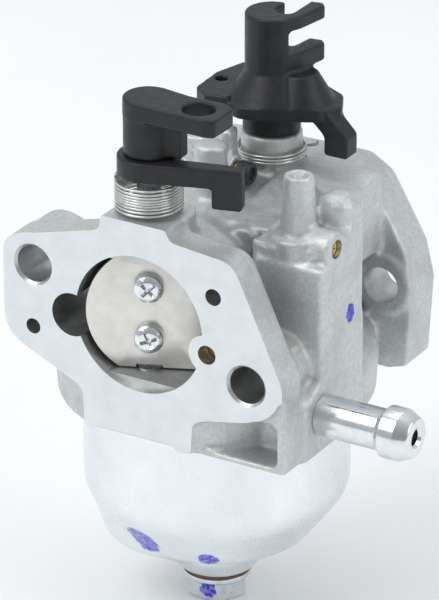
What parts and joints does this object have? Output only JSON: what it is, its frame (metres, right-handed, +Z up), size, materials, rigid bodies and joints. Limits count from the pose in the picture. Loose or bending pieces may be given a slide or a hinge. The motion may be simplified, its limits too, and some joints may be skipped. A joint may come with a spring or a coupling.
{
  "type": "carburetor",
  "caption": "Float carburetor for a small engine: cast body, deep-drawn fuel bowl, choke and throttle plates on upright shafts with moulded levers, and a hose nipple.",
  "frame": {"origin": "bore axis at the machined air-side face", "axes": "+X across the body towards the fuel nipple, +Y along the air flow to the engine face, +Z up along the choke and throttle shafts"},
  "size_m": [0.0719, 0.053, 0.0995],
  "materials": {
    "cast_alloy": "die cast, machined faces",
    "zinc_plate": "bright zinc plated pressing",
    "zinc_screw": "bright zinc plated",
    "brass": "machined",
    "spring_steel": "drawn wire",
    "shaft_steel": "ground",
    "plate_steel": "yellow-white passivated sheet",
    "black_nylon": "glass-filled, moulded",
    "cap_plastic": "moulded",
    "rubber": "moulded",
    "fibre": "pressed fibre",
    "float_plastic": "moulded foam"
  },
  "bodies": {
    "carburetor_body": {"body_casting": "cast_alloy", "float_bowl": "zinc_plate", "bowl_gasket": "rubber", "bowl_bolt": "zinc_screw", "bowl_bolt_washer": "fibre", "fuel_inlet_nipple": "zinc_screw", "inlet_valve_seat": "brass", "emulsion_tube": "brass", "main_jet": "brass", "pilot_jet": "brass", "air_jet": "brass", "passage_plug": "brass", "float_hinge_pin": "shaft_steel", "choke_return_spring": "spring_steel", "throttle_return_spring": "spring_steel", "throttle_shaft_seal": "rubber", "idle_mixture_screw": "brass", "mixture_limiter_cap": "cap_plastic"},
    "choke": {"choke_shaft": "shaft_steel", "choke_plate": "plate_steel", "choke_plate_screws": "zinc_screw", "choke_lever": "black_nylon"},
    "choke_arm": {"choke_arm": "black_nylon"},
    "throttle": {"throttle_shaft": "shaft_steel", "throttle_plate": "plate_steel", "throttle_plate_screw": "zinc_screw", "throttle_lever": "black_nylon"},
    "float": {"float": "float_plastic"},
    "needle": {"inlet_needle": "shaft_steel", "needle_tip": "rubber"}
  },
  "joints": [
    {"name": "choke_turn", "type": "hinge", "parent": "carburetor_body", "child": "choke", "pos_m": [-0.0015, 0.006, 0], "axis": [0, 0, 1], "range_deg": [0, 60], "stiffness_Nm_per_rad": 0.01, "springref_deg": -17.19, "deforming": ["choke_return_spring"]},
    {"name": "choke_arm_turn", "type": "hinge", "parent": "carburetor_body", "child": "choke_arm", "pos_m": [-0.0015, 0.006, 0], "axis": [0, 0, 1], "range_deg": [-30, 60]},
    {"name": "throttle_turn", "type": "hinge", "parent": "carburetor_body", "child": "throttle", "pos_m": [0, 0.043, 0], "axis": [0, 0, 1], "range_deg": [-75, 0], "stiffness_Nm_per_rad": 0.01, "springref_deg": 17.19, "deforming": ["throttle_return_spring"]},
    {"name": "float_swing", "type": "hinge", "parent": "carburetor_body", "child": "float", "pos_m": [0, 0.0076, -0.0255], "axis": [-1, 0, 0], "range_deg": [0, 5]},
    {"name": "needle_slide", "type": "slide", "parent": "carburetor_body", "child": "needle", "axis": [0, 0, -1], "range_m": [0, 0.0006]}
  ],
  "couplings": [
    {"joint": "needle_slide", "follows": "float_swing", "m_per_rad": 0.0041}
  ]
}
